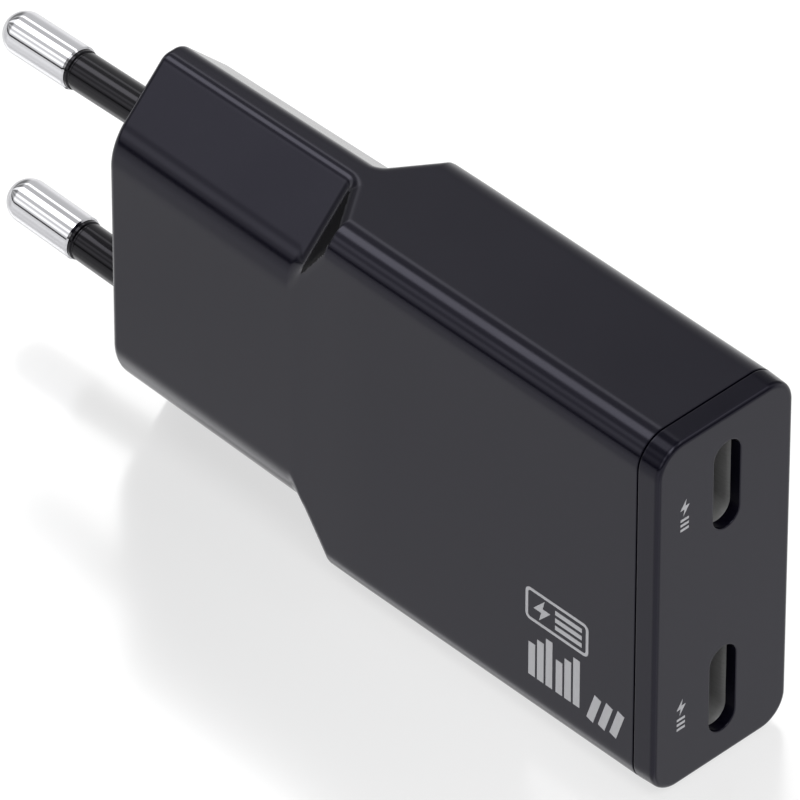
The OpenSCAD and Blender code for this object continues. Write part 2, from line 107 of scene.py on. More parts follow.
class Tree:
    """Short calls for building a node tree."""

    def __init__(self, tree):
        self.tree = tree
        tree.nodes.clear()

    def add(self, kind, **settings):
        node = self.tree.nodes.new(kind)
        for name, value in settings.items():
            setattr(node, name, value)
        return node

    def link(self, out, into):
        self.tree.links.new(out, into)

    def put(self, value, socket):
        """Links a socket, or sets a plain value."""
        if isinstance(value, bpy.types.NodeSocket):
            self.link(value, socket)
        else:
            socket.default_value = value

    def math(self, op, a, b):
        node = self.add("ShaderNodeMath", operation=op)
        self.put(a, node.inputs[0])
        self.put(b, node.inputs[1])
        return node.outputs[0]

    def remap(self, value, low, high, to_low, to_high):
        node = self.add("ShaderNodeMapRange")
        self.put(value, node.inputs["Value"])
        for name, v in zip(("From Min", "From Max", "To Min", "To Max"), (low, high, to_low, to_high)):
            node.inputs[name].default_value = v
        return node.outputs["Result"]

    def spread(self, noise, low, high):
        """Takes a noise, which lies mostly between 0.3 and 0.7, to the range low to high."""
        return self.remap(noise, 0.3, 0.7, low, high)

    def coords(self, scale=(1, 1, 1)):
        """Object coordinates in millimetres, times scale."""
        tex = self.add("ShaderNodeTexCoord")
        mapping = self.add("ShaderNodeMapping")
        mapping.inputs["Scale"].default_value = [s / MM for s in scale]
        self.link(tex.outputs["Object"], mapping.inputs["Vector"])
        return mapping.outputs["Vector"]

    def noise(self, scale, detail=2.0, rough=0.5, stretch=(1, 1, 1)):
        node = self.add("ShaderNodeTexNoise")
        self.link(self.coords(stretch), node.inputs["Vector"])
        node.inputs["Scale"].default_value = scale
        node.inputs["Detail"].default_value = detail
        node.inputs["Roughness"].default_value = rough
        return node.outputs["Fac"]

    def mix(self, fac, a, b):
        node = self.add("ShaderNodeMix", data_type="RGBA")
        self.put(fac, node.inputs["Factor"])
        for value, name in ((a, "A"), (b, "B")):
            socket = [s for s in node.inputs if s.name == name and s.type == "RGBA"][0]
            self.put(value if isinstance(value, bpy.types.NodeSocket) else (*value, 1), socket)
        return [s for s in node.outputs if s.type == "RGBA"][0]

    def bump(self, height, strength, distance, normal=None):
        node = self.add("ShaderNodeBump")
        node.inputs["Strength"].default_value = strength
        node.inputs["Distance"].default_value = distance
        self.link(height, node.inputs["Height"])
        if normal is not None:
            self.link(normal, node.inputs["Normal"])
        return node.outputs["Normal"]

    def edges(self, radius):
        """1 at edges and 0 on flats."""
        geo = self.add("ShaderNodeNewGeometry")
        bevel = self.add("ShaderNodeBevel", samples=4)
        bevel.inputs["Radius"].default_value = radius
        dot = self.add("ShaderNodeVectorMath", operation="DOT_PRODUCT")
        self.link(geo.outputs["Normal"], dot.inputs[0])
        self.link(bevel.outputs["Normal"], dot.inputs[1])
        return self.remap(dot.outputs["Value"], 0.98, 0.8, 0.0, 1.0)


def new_material(name):
    mat = bpy.data.materials.new(name)
    mat.use_nodes = True
    tree = Tree(mat.node_tree)
    out = tree.add("ShaderNodeOutputMaterial")
    shader = tree.add("ShaderNodeBsdfPrincipled")
    tree.link(shader.outputs[0], out.inputs["Surface"])
    return mat, tree, shader


def moulded_plastic(name, dark, light, rough, ior=1.5, grain=0.25, wear=0.0, tint=(1, 1, 1)):
    """Moulded plastic: a fine spark-eroded grain, slow changes of tone and gloss, and with wear, duller
    edges."""
    mat, t, shader = new_material(name)
    slow = t.noise(0.12, 3.0)
    fine = t.noise(6.0, 3.0, 0.6)
    t.link(t.mix(slow, dark, light), shader.inputs["Base Color"])
    roughness = t.spread(slow, rough - 0.02, rough + 0.02)
    roughness = t.math("ADD", roughness, t.spread(fine, -0.015, 0.015))
    if wear:
        roughness = t.math("ADD", roughness, t.math("MULTIPLY", t.edges(0.15 * MM), wear))
    t.link(roughness, shader.inputs["Roughness"])
    shader.inputs["IOR"].default_value = ior
    shader.inputs["Specular Tint"].default_value = (*tint, 1)
    t.link(t.bump(fine, grain, 0.004 * MM), shader.inputs["Normal"])
    return mat


def plated_metal(name, dark, light, rough, stretch=(1, 1, 1), scratch=0.15, metallic=1.0):
    """Plated or drawn metal: fine marks along the working direction and uneven polish."""
    mat, t, shader = new_material(name)
    slow = t.noise(0.5, 2.0)
    lines = t.noise(4.0, 4.0, 0.65, stretch)
    t.link(t.mix(slow, dark, light), shader.inputs["Base Color"])
    t.link(t.spread(lines, rough * 0.7, rough * 1.4), shader.inputs["Roughness"])
    shader.inputs["Metallic"].default_value = metallic
    t.link(t.bump(lines, scratch, 0.002 * MM), shader.inputs["Normal"])
    return mat


def printed_ink(name, colour):
    """Pad-printed ink: a matt film, slightly thin in places."""
    mat, t, shader = new_material(name)
    patchy = t.noise(5.0, 3.0, 0.6)
    thin = tuple(c * 0.86 for c in colour)
    t.link(t.mix(patchy, thin, colour), shader.inputs["Base Color"])
    t.link(t.spread(patchy, 0.5, 0.62), shader.inputs["Roughness"])
    t.link(t.bump(patchy, 0.2, 0.003 * MM), shader.inputs["Normal"])
    return mat


def speckled(name, dark, light, rough, scale, bump=0.3):
    """A cast, sintered or lacquered surface with a grain at the given scale."""
    mat, t, shader = new_material(name)
    grain = t.noise(scale, 4.0, 0.6)
    t.link(t.mix(grain, dark, light), shader.inputs["Base Color"])
    t.link(t.spread(grain, rough - 0.06, rough + 0.06), shader.inputs["Roughness"])
    t.link(t.bump(grain, bump, 0.01 * MM), shader.inputs["Normal"])
    return mat


def wound_wire(name, dark, light, turns_per_mm, rough):
    """Enamelled or insulated wire: turns side by side, as ridges."""
    mat, t, shader = new_material(name)
    wave = t.add("ShaderNodeTexWave", bands_direction="Y")
    t.link(t.coords(), wave.inputs["Vector"])
    wave.inputs["Scale"].default_value = turns_per_mm
    wave.inputs["Distortion"].default_value = 0.4
    t.link(t.mix(wave.outputs["Fac"], dark, light), shader.inputs["Base Color"])
    t.link(t.spread(t.noise(2.0), rough - 0.05, rough + 0.05), shader.inputs["Roughness"])
    t.link(t.bump(wave.outputs["Fac"], 0.6, 0.05 * MM), shader.inputs["Normal"])
    return mat


def circuit_board(name):
    """Solder mask over copper tracks and a glass weave."""
    mat, t, shader = new_material(name)
    tracks = t.add("ShaderNodeTexVoronoi", distance="CHEBYCHEV", feature="DISTANCE_TO_EDGE")
    t.link(t.coords(), tracks.inputs["Vector"])
    tracks.inputs["Scale"].default_value = 0.35
    track = t.remap(tracks.outputs["Distance"], 0.06, 0.1, 0.0, 1.0)
    weave = t.noise(3.0, 2.0, 0.5, (1, 1, 0.2))
    base = t.mix(track, (0.012, 0.075, 0.035), (0.02, 0.13, 0.06))
    t.link(base, shader.inputs["Base Color"])
    t.link(t.spread(weave, 0.25, 0.4), shader.inputs["Roughness"])
    t.link(t.bump(track, 0.4, 0.03 * MM, t.bump(weave, 0.1, 0.01 * MM)), shader.inputs["Normal"])
    return mat


# ---- mesh helpers --------------------------------------------------------

SAME_POINT = 1e-7                  # metres: points closer than this are one
FLAT_WEIGHT = 60                   # how much more a large face counts in the shading at its edges


class Builder:
    """Collects rings of points, in millimetres, and joins them with quads."""

    def __init__(self):
        self.points, self.faces = [], []

    def ring(self, points):
        start = len(self.points)
        self.points.extend(map(tuple, points))
        return list(range(start, start + len(points)))

    def bridge(self, a, b):
        n = len(a)
        for i in range(n):
            j = (i + 1) % n
            self.faces.append((a[i], a[j], b[j], b[i]))

    def chain(self, rings):
        for a, b in zip(rings, rings[1:]):
            self.bridge(a, b)

    def fan(self, ring):
        self.faces.append(tuple(ring))

    def mesh(self, name):
        mesh = bpy.data.meshes.new(name)
        mesh.from_pydata([tuple(c * MM for c in p) for p in self.points], [], self.faces)
        mesh.update()
        return mesh


def finish_piece(name, mesh, material, replaces=(), *, sharp, second=None, takes_second=None):
    """Makes a piece that rides on the body. sharp is the angle from which an edge is shaded as sharp.
    The faces for which takes_second is true get the second material."""
    bm = bmesh.new()
    bm.from_mesh(mesh)
    bmesh.ops.remove_doubles(bm, verts=bm.verts, dist=SAME_POINT)
    bmesh.ops.recalc_face_normals(bm, faces=bm.faces)
    for face in bm.faces:
        face.smooth = True
        if second is not None and takes_second(face):
            face.material_index = 1
    for edge in bm.edges:
        edge.smooth = not (edge.is_manifold and edge.calc_face_angle(0) > math.radians(sharp))
    bm.to_mesh(mesh)
    bm.free()
    mesh.materials.append(material)
    if second is not None:
        mesh.materials.append(second)
    piece = bpy.data.objects.new(name, mesh)
    bpy.context.scene.collection.objects.link(piece)
    flats = piece.modifiers.new("flat_faces_stay_flat", "WEIGHTED_NORMAL")
    flats.keep_sharp = True
    flats.weight = FLAT_WEIGHT
    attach(piece, "root")
    if replaces:
        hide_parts(*replaces)
    return piece


def fill_between(builder, loops):
    """A flat face with holes: the first loop is its outline and the others are the holes."""
    bm = bmesh.new()
    edges = []
    index = {}
    for loop in loops:
        verts = []
        for i in loop:
            v = bm.verts.new(builder.points[i])
            index[v] = i
            verts.append(v)
        for a, b in zip(verts, verts[1:] + verts[:1]):
            edges.append(bm.edges.new((a, b)))
    bmesh.ops.triangle_fill(bm, edges=edges, use_beauty=True)
    for face in bm.faces:
        builder.faces.append(tuple(index[v] for v in face.verts))
    bm.free()


def smooth_step(x, low, high):
    t = np.clip((x - low) / (high - low), 0, 1)
    return t * t * (3 - 2 * t)


def round_max(a, b, r, cos=0.0):
    """Intersection of two half spaces with a true arc of radius r on their edge. cos is that of the
    angle between their normals."""
    u, v = a + r, b + r
    reach = np.sqrt(np.maximum(u * u + v * v - 2 * u * v * cos, 0) / (1 - cos * cos))
    return np.where((u > v * cos) & (v > u * cos), reach - r, np.maximum(a, b))


def round_min(a, b, r, cos=0.0):
    """Union of two half spaces with a true arc of radius r in their corner."""
    return -round_max(-a, -b, r, cos)


# ---- body shape ----------------------------------------------------------

def flare_distance(out, x):
    """Signed distance to a bevel and the flare wall at its end. out is measured square to the bevel."""
    return round_min(out, (out - (x - FLARE_X)) * math.sqrt(0.5), FLARE_FOOT_R, math.sqrt(0.5))


def body_distance(x, y, z):
    """Signed distance to the body's side walls: the bevelled plug, its flare and the main body."""
    draft = np.clip(x / FLARE_START, 0, 1)
    ramp_from, ramp_to = FLARE_START - 1.0, FLARE_END + 4.0
    ramp = smooth_step(x, ramp_from, ramp_to)
    half_t = PLUG_HALF_T + PLUG_DRAFT_T * draft + (HALF_T - INK - PLUG_HALF_T - PLUG_DRAFT_T) * ramp
    half_w = PLUG_HALF_W + PLUG_DRAFT_W * draft
    bevel_at = (BEVEL_SUM + BEVEL_DRAFT * draft) / math.sqrt(2)
    tighten_from, tighten_to = FLARE_X - 1.3, FLARE_X + 0.5
    wall_zone = smooth_step(x, tighten_from, tighten_to)
    front_r = FRONT_BEVEL_R + (FRONT_BEVEL_R_AT_FLARE - FRONT_BEVEL_R) * wall_zone
    ridge_r = RIDGE_BEVEL_R + (RIDGE_BEVEL_R_AT_FLARE - RIDGE_BEVEL_R) * wall_zone
    ay, az = np.abs(y) - half_t, np.abs(z) - half_w
    out = (np.abs(y) + np.abs(z)) / math.sqrt(2) - bevel_at
    bevel = flare_distance(out, x)
    step = 1e-4
    lean = (flare_distance(out + step, x) - flare_distance(out - step, x)) / (2 * step)
    cos = np.clip(lean, 0.5, 1) * math.sqrt(0.5)
    edge = round_max(ay, az, EDGE_R)
    at_front = round_max(bevel, ay, front_r, cos)
    at_ridge = round_max(bevel, az, ridge_r, cos)
    return np.maximum(edge, np.maximum(at_front, at_ridge))


def section_angles():
    """Angles of the points round a section, closer together at the edges and the narrow sides."""
    edges_from, coarse, fine = 48, 17, 92
    quarter = np.concatenate([np.linspace(0, edges_from, coarse)[:-1],
                              np.linspace(edges_from, 90, fine)[:-1]])
    whole = np.concatenate([quarter, 180 - quarter, 180 + quarter, 360 - quarter]) % 360
    return np.radians(np.unique(whole.round(9)))


ANGLES = section_angles()


def section(x, inset):
    """Points of the section at x with the walls inset by that much, found by halving a distance from
    the axis."""
    cy, cz = np.cos(ANGLES), np.sin(ANGLES)
    least, most, halvings = 0.5, 30.0, 40
    low, high = np.full(len(ANGLES), least), np.full(len(ANGLES), most)
    xs = np.full(len(ANGLES), float(x))
    for _ in range(halvings):
        mid = (low + high) / 2
        outside = body_distance(xs, mid * cy, mid * cz) > -inset
        high, low = np.where(outside, mid, high), np.where(outside, low, mid)
    return np.stack([xs, low * cy, low * cz], 1)


def fillet_steps(r, count):
    """(distance from the end plane, inset) along a quarter-round edge, from the plane to the side."""
    angles = np.linspace(0, math.pi / 2, count)
    return [(r * (1 - math.cos(a)), r * (1 - math.sin(a))) for a in angles]


def circle_at(x, z, r, count=48):
    """A circle in the plane at x, its centre z from the axis."""
    a = np.linspace(0, 2 * math.pi, count, endpoint=False)
    return np.stack([np.full(count, float(x)), r * np.cos(a), z + r * np.sin(a)], 1)


def stadium(x, cy, cz, w, h, count=16):
    """A slot outline at x, long in Z."""
    r = h / 2
    a = np.linspace(0, math.pi, count)
    top = np.stack([r * np.cos(a), (w - h) / 2 + r * np.sin(a)], 1)
    both = np.concatenate([top, -top])
    return np.stack([np.full(len(both), float(x)), cy + both[:, 0], cz + both[:, 1]], 1)


def on_flare_wall(face):
    """The small walls in which the plug's bevels end, with the rounding beside the large faces. These faces
    get the near-black material, which is painted shade.
    """
    centre = face.calc_center_median() / MM
    near_large_face = abs(centre.y) > 0.84 * HALF_T
    near_ridge = abs(centre.y) <= HALF_T / 4
    foot = FLARE_X + 0.3
    turned_to_plug = face.normal.x < (-0.35 if near_large_face else -0.55)
    return turned_to_plug and foot < centre.x < FLARE_END and not near_ridge


def pin_lean():
    """Angle by which each pin leans towards the other one."""
    return math.atan((PIN_PITCH_FACE - PIN_PITCH_TIP) / 2 / PIN_LEN)


def build_housing(material, painted_shade_wall_material):
    """The shell, closed at the plug face and open at the seam, with both pin holes, and painted shade on
    the flare walls.
    """
    b = Builder()
    flare_from, flare_to, flare_step = FLARE_START - 1.0, FLARE_END + 0.4, 0.12
    body_from, body_to = flare_to + 0.1, SEAM_X - SEAM_R
    stations = [FACE_R + GUARD, *np.linspace(FACE_R, flare_from, 22)[1:-1]]
    stations += [*np.arange(flare_from, flare_to, flare_step)]
    stations += [*np.linspace(body_from, body_to, 30)[:-1], body_to - GUARD]
    face_edge = [(0, FACE_R + GUARD), *fillet_steps(FACE_R, 9)]
    rings = [b.ring(section(x, inset)) for x, inset in face_edge]
    rings += [b.ring(section(x, 0.0)) for x in stations]
    rings += [b.ring(section(SEAM_X - d, inset)) for d, inset in reversed(fillet_steps(SEAM_R, 4))]
    b.chain(rings)
    inner_x = [PLUG_FACE_T, 12, 20, 21, 22, 23, 24, 25, 26, 27, 30, 45, SEAM_X]
    inner = [b.ring(section(x, WALL)) for x in inner_x]
    b.chain(inner)
    b.bridge(rings[-1], inner[-1])
    outer_holes, inner_holes = [], []
    for side in (UPPER, LOWER):
        z0 = side * PIN_PITCH_FACE / 2
        z1 = z0 + side * PLUG_FACE_T * math.tan(pin_lean())
        hole_r = SLEEVE_R + PIN_HOLE_PLAY
        outer_hole = b.ring(circle_at(0, z0, SLEEVE_R + PIN_HOLE_LEAD))
        throat = b.ring(circle_at(PIN_HOLE_LEAD, z0, hole_r))
        inner_hole = b.ring(circle_at(PLUG_FACE_T, z1, hole_r))
        b.chain([outer_hole, throat, inner_hole])
        outer_holes.append(outer_hole)
        inner_holes.append(inner_hole)
    fill_between(b, [rings[0], *outer_holes])
    fill_between(b, [inner[0], *inner_holes])
    return finish_piece("housing_shell", b.mesh("housing_shell"), material,
                        ["main_housing"], sharp=40, second=painted_shade_wall_material, takes_second=on_flare_wall)


def build_cap(material):
    """The cap's plate with both port openings, and its skirt inside the shell."""
    b = Builder()
    plate_x, front_x = SEAM_X + SEAM_GAP, BODY_LEN - INK
    plate_t = front_x - plate_x
    shoulder, skirt_lead = 0.5, 0.2
    front_edge = [(0, CAP_EDGE_R + GUARD), *fillet_steps(CAP_EDGE_R, 7), (CAP_EDGE_R + GUARD, 0),
                  (plate_t - SEAM_R - GUARD, 0)]
    rings = [b.ring(section(front_x - d, inset + CAP_DRAFT * (plate_t - d))) for d, inset in front_edge]
    seam_edge = reversed(fillet_steps(SEAM_R, 4))
    rings += [b.ring(section(plate_x + d, inset + CAP_DRAFT * d)) for d, inset in seam_edge]
    skirt_x, outside, inside = SEAM_X - SKIRT_LEN, WALL + FIT_GAP, WALL + FIT_GAP + SKIRT_T
    rings += [b.ring(section(x, inset)) for x, inset in (
        (plate_x, shoulder), (SEAM_X, shoulder), (SEAM_X, outside), (skirt_x + skirt_lead, outside),
        (skirt_x, outside + skirt_lead), (skirt_x, inside), (SEAM_X, inside))]
    b.chain(rings)
    fronts, backs = [], []
    for side in (UPPER, LOWER):
        cz = side * PORT_PITCH / 2
        lip_edge = [(0, CAP_LIP_R + GUARD), *fillet_steps(CAP_LIP_R, 5)]
        lip = [b.ring(stadium(front_x - d, PORT_Y, cz, SLOT_W + 2 * inset, SLOT_H + 2 * inset))
               for d, inset in lip_edge]
        back_w, back_h = SHELL_W + SHELL_PLAY, SHELL_H + SHELL_PLAY
        lip += [b.ring(stadium(x, PORT_Y, cz, w, h)) for x, w, h in (
            (SHELL_X, SLOT_W, SLOT_H), (SHELL_X, back_w, back_h), (SEAM_X, back_w, back_h))]
        b.chain(lip)
        fronts.append(lip[0])
        backs.append(lip[-1])
    fill_between(b, [rings[0], *fronts])
    fill_between(b, [rings[-1], *backs])
    return finish_piece("port_cap", b.mesh("port_cap"), material, ["end_cap"], sharp=40)


def lathe(profile, side, count=96):
    """Turns a profile round a pin's axis. The profile holds (distance along the pin from the plug face,
    radius), and a radius of 0 closes it."""
    tilt = pin_lean()
    axis = np.array([-math.cos(tilt), 0, -side * math.sin(tilt)])
    across = np.array([0, 1, 0])
    up = np.cross(across, axis)
    base = np.array([0, 0, side * PIN_PITCH_FACE / 2])
    b = Builder()
    angles = np.linspace(0, 2 * math.pi, count, endpoint=False)
    rings = []
    for u, r in profile:
        centre = base + axis * u
        if r == 0:
            rings.append(b.ring([centre]))
        else:
            rings.append(b.ring([centre + r * (math.cos(a) * across + math.sin(a) * up) for a in angles]))
    for p, q in zip(rings, rings[1:]):
        if len(p) == 1:
            for i in range(count):
                b.faces.append((p[0], q[(i + 1) % count], q[i]))
        elif len(q) == 1:
            for i in range(count):
                b.faces.append((p[i], p[(i + 1) % count], q[0]))
        else:
            b.bridge(p, q)
    return b


def build_pin(side, material):
    """A pin with a round tip, its neck inside the sleeve, and the collar and tail inside the housing."""
    name = SIDE_NAMES[side]
    tip = [(PIN_LEN - PIN_R + PIN_R * math.cos(a), PIN_R * math.sin(a))
           for a in np.linspace(0, math.pi / 2, 25)]
    tip[0] = (PIN_LEN, 0)
    shoulder, tail_edge = 0.14, 0.3
    collar_end = -SLEEVE_ROOT - PIN_COLLAR_T
    profile = tip + [
        (SLEEVE_LEN + shoulder, PIN_R), (SLEEVE_LEN, PIN_R - shoulder), (SLEEVE_LEN, PIN_NECK_R),
        (-SLEEVE_ROOT, PIN_NECK_R), (-SLEEVE_ROOT, PIN_COLLAR_R),
        (collar_end, PIN_COLLAR_R), (collar_end, PIN_TAIL_R),
        (-PIN_TAIL_END + tail_edge, PIN_TAIL_R), (-PIN_TAIL_END, PIN_TAIL_R - tail_edge),
        (-PIN_TAIL_END, 0)]
    b = lathe(profile, side)
    return finish_piece(f"plug_pin_{name}", b.mesh(f"plug_pin_{name}"), material,
                        [f"pin_{name}"], sharp=32)


def build_sleeve(side, material):
    """An insulating sleeve with a small ring and a groove at its end."""
    name = SIDE_NAMES[side]
    ring_r, ring_len, edge = SLEEVE_R + 0.07, 0.28, 0.06
    slope, groove_len = 0.1, 0.14
    ring_end = SLEEVE_LEN - ring_len
    groove_end = ring_end - slope - groove_len
    outer = [
        (SLEEVE_LEN, PIN_NECK_R), (SLEEVE_LEN, ring_r - edge), (SLEEVE_LEN - edge, ring_r),
        (ring_end, ring_r), (ring_end - slope, SLEEVE_R - edge), (groove_end, SLEEVE_R - edge),
        (groove_end - slope, SLEEVE_R), (-SLEEVE_ROOT, SLEEVE_R), (-SLEEVE_ROOT, PIN_NECK_R)]
    b = lathe(outer + [outer[0]], side)
    return finish_piece(f"insulating_sleeve_{name}", b.mesh(f"insulating_sleeve_{name}"), material,
                        [f"pin_sleeve_{name}"], sharp=25)


def build_usb_shell(side, material):
    """A receptacle shell whose mouth widens to a thin rim."""
    name = SIDE_NAMES[side]
    b = Builder()
    cz = side * PORT_PITCH / 2
    back = SHELL_X - SHELL_LEN
    mouth, edge, edge_len, points = 0.5, 0.04, 0.05, 20
    steps = [(back, 0), (SHELL_X - edge_len, 0), (SHELL_X, edge), (SHELL_X, 2 * edge),
             (SHELL_X - mouth, SHELL_WALL), (back, SHELL_WALL)]
    rings = [b.ring(stadium(x, PORT_Y, cz, SHELL_W - 2 * inset, SHELL_H - 2 * inset, points))
             for x, inset in steps]
    b.chain(rings + [rings[0]])
    return finish_piece(f"receptacle_shell_{name}", b.mesh(f"receptacle_shell_{name}"), material,
                        [f"usb_shell_{name}"], sharp=50)


# ---- printed marks -------------------------------------------------------

def prism(outlines, place, thickness):
    """Raises flat outlines of (u, v) points off a face. place maps (u, v, height) to a point."""
    b = Builder()
    for outline in outlines:
        low = b.ring([place(u, v, 0) for u, v in outline])
        high = b.ring([place(u, v, thickness) for u, v in outline])
        b.bridge(low, high)
        b.fan(low)
        b.fan(high)
    return b


def on_front(u, v, height):
    """u runs along +X and v along +Z, on the marked front face."""
    return (u, -(HALF_T - INK) - height, v)


def on_ports(u, v, height):
    """u runs along +Y and v along +Z, on the port face."""
    return (BODY_LEN - INK + height, u, v)


def bar(u0, v0, u1, v1, width):
    """A straight stroke from one point to the other."""
    d = Vector((u1 - u0, v1 - v0)).normalized() * (width / 2)
    n = Vector((-d.y, d.x))
    return [(u0 + n.x, v0 + n.y), (u1 + n.x, v1 + n.y), (u1 - n.x, v1 - n.y), (u0 - n.x, v0 - n.y)]


def rounded_box(u0, v0, u1, v1, r, count=7):
    points = []
    corners = ((u1 - r, v1 - r, 0), (u0 + r, v1 - r, 90), (u0 + r, v0 + r, 180), (u1 - r, v0 + r, 270))
    for cu, cv, start in corners:
        for a in np.linspace(start, start + 90, count):
            points.append((cu + r * math.cos(math.radians(a)), cv + r * math.sin(math.radians(a))))
    return points


def lightning(cu, cv, w, h):
    """A plain lightning bolt inside a box w by h."""
    shape = [(0.16, 0.5), (-0.5, -0.1), (-0.04, -0.1), (-0.16, -0.5), (0.5, 0.1), (0.04, 0.1)]
    return [(cu + u * w, cv + v * h) for u, v in shape]


def mark_frame():
    """A rounded frame, as a thin line."""
    u0, v0, u1, v1, line = 48.95, -7.5, 56.05, -4.13, 0.29
    outer = rounded_box(u0, v0, u1, v1, 0.55)
    inner = rounded_box(u0 + line, v0 + line, u1 - line, v1 - line, 0.3)
    b = Builder()
    rings = [b.ring([on_front(u, v, h) for u, v in loop])
             for loop, h in ((outer, 0), (outer, INK), (inner, INK), (inner, 0))]
    b.chain(rings + [rings[0]])
    return b


def mark_power():
    """A lightning bolt and three lines, inside the frame."""
    middle, step, width = -5.82, 0.77, 0.44
    lines = [bar(52.3, middle + i * step, 55.3, middle + i * step, width) for i in (1, 0, -1)]
    return prism([lightning(50.8, middle, 1.9, 2.3)] + lines, on_front, INK)


def mark_levels():
    """Two groups of three rising bars."""
    foot, tallest, step, width = -13.3, 4.9, 0.98, 0.74
    levels = []
    for u0 in (49.7, 52.8):
        for i in range(3):
            u = u0 + i * step
            levels.append(bar(u, foot, u, foot + tallest * (0.7 + 0.15 * i), width))
    return prism(levels, on_front, INK)


def mark_slashes():
    """Three slashes beside the rising bars."""
    foot, top, lean, width = -13.75, -10.95, 0.9, 0.78
    return prism([bar(u, foot, u + lean, top, width) for u in (56.3, 57.6, 58.9)], on_front, INK)


def mark_port(middle):
    """A small lightning bolt over three dashes, beside a port."""
    mark = [lightning(-4.45, middle + 0.85, 1.0, 1.6)]
    mark += [bar(-4.9, middle + v, -4.0, middle + v, 0.24) for v in (-0.35, -0.85, -1.35)]
    return prism(mark, on_ports, INK)


def build_marks(material):
    marks = (("mark_frame", mark_frame()), ("mark_power", mark_power()), ("mark_levels", mark_levels()),
             ("mark_slashes", mark_slashes()), ("mark_port_upper", mark_port(10.2)),
             ("mark_port_lower", mark_port(-10.65)))
    for name, builder in marks:
        finish_piece(name, builder.mesh(name), material, sharp=20)


# ---- finish of the CAD parts that stay -----------------------------------

ALONG_X = (0.2, 1, 1)              # stretches a metal's fine marks along X
LONG_ALONG_X = (0.1, 1, 1)
AROUND_CAN = (1, 0.15, 1)
CAD_EDGE, CAD_EDGE_ANGLE = 0.06, 40    # broken edges: their width, and the angle from which one counts


def inner_materials():
    """The finishes of the pieces inside, by material slot."""
    return {
        "carrier_plastic": moulded_plastic("carrier_plastic", (0.55, 0.53, 0.46), (0.66, 0.63, 0.55), 0.45),
        "brass_strip": plated_metal("brass_strip", (0.62, 0.42, 0.16), (0.75, 0.53, 0.24), 0.28, ALONG_X),
        "circuit_board": circuit_board("circuit_board"),
        "fuse_body": speckled("fuse_body", (0.70, 0.66, 0.54), (0.82, 0.78, 0.66), 0.4, 2.0),
        "blue_lacquer": speckled("blue_lacquer", (0.02, 0.10, 0.30), (0.04, 0.16, 0.42), 0.3, 1.5),
        "film_capacitor": moulded_plastic("film_capacitor", (0.55, 0.36, 0.03), (0.66, 0.45, 0.05), 0.35),
        "ferrite": speckled("ferrite", (0.025, 0.025, 0.027), (0.06, 0.06, 0.065), 0.55, 6.0, 0.5),
        "copper_wire": wound_wire("copper_wire", (0.30, 0.09, 0.03), (0.62, 0.22, 0.07), 1.4, 0.3),
        "insulated_wire": wound_wire("insulated_wire", (0.50, 0.33, 0.03), (0.75, 0.55, 0.08), 0.9, 0.4),
        "chip_package": speckled("chip_package", (0.012, 0.012, 0.013), (0.03, 0.03, 0.032), 0.5, 8.0),
        "pale_package": speckled("pale_package", (0.68, 0.68, 0.64), (0.8, 0.8, 0.76), 0.45, 5.0),
        "capacitor_can": moulded_plastic("capacitor_can", (0.01, 0.02, 0.07), (0.02, 0.035, 0.1), 0.25),
        "bare_can": plated_metal("bare_can", (0.62, 0.63, 0.65), (0.74, 0.75, 0.77), 0.25, AROUND_CAN),
        "chip_ceramic": speckled("chip_ceramic", (0.20, 0.12, 0.06), (0.36, 0.24, 0.14), 0.4, 4.0),
        "gold_contact": plated_metal("gold_contact", (0.80, 0.55, 0.18), (0.90, 0.66, 0.26), 0.18, ALONG_X),
        "aluminium_sheet": plated_metal("aluminium_sheet", (0.66, 0.67, 0.68), (0.78, 0.79, 0.8), 0.35,
                                        LONG_ALONG_X),
        "thermal_pad": speckled("thermal_pad", (0.36, 0.42, 0.52), (0.48, 0.55, 0.64), 0.75, 3.0),
        "film_plastic": moulded_plastic("film_plastic", (0.55, 0.33, 0.12), (0.66, 0.42, 0.18), 0.25),
    }


def slot_of_nodes():
    """CAD node to material slot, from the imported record."""
    return {part["node"]: part["material_slot"] for part in frame["record"]["subparts"]}


def dress_cad_nodes(materials):
    """Gives each CAD node that still shows its finish and finely broken edges."""
    slots = slot_of_nodes()
    for name, node in frame["nodes"].items():
        if node.hide_render:
            continue
        node.data.materials.clear()
        node.data.materials.append(materials[slots[name]])
        bevel = node.modifiers.new("edges", "BEVEL")
        bevel.width = CAD_EDGE * MM
        bevel.segments = 2
        bevel.limit_method = "ANGLE"
        bevel.angle_limit = math.radians(CAD_EDGE_ANGLE)


# ---- stage ---------------------------------------------------------------

# Studio light by direction: degrees from straight up, towards the front (+) or the
# back (-), and how bright it is there. The bright bands are long soft boxes along X.
STUDIO = [
    (-180, 1.15), (-92, 1.15), (-84, 1.25), (-74, 1.0), (-60, 0.92), (-38, 0.92), (-35, 2.8), (-27, 2.8),
    (-23, 0.90), (-4, 0.90), (2, 5.1), (20, 5.1), (26, 0.97), (40, 1.0), (43, 2.3), (50, 2.3),
    (54, 1.15), (61, 1.18), (65, 2.1), (72, 2.1), (76, 1.2), (81, 1.05), (84, 0.06), (92, 0.06),
    (97, 1.15), (180, 1.15),
]
# How much of that light comes from each direction along X, from -1 to 1.
STUDIO_ALONG_X = [
    (-1, 0.35), (-0.8, 0.35), (-0.68, 1), (-0.54, 1), (-0.5, 0.36), (-0.3, 0.3), (0.1, 0.3), (0.35, 0.95),
    (0.6, 0.95), (0.8, 0.2), (1, 0.2),
]


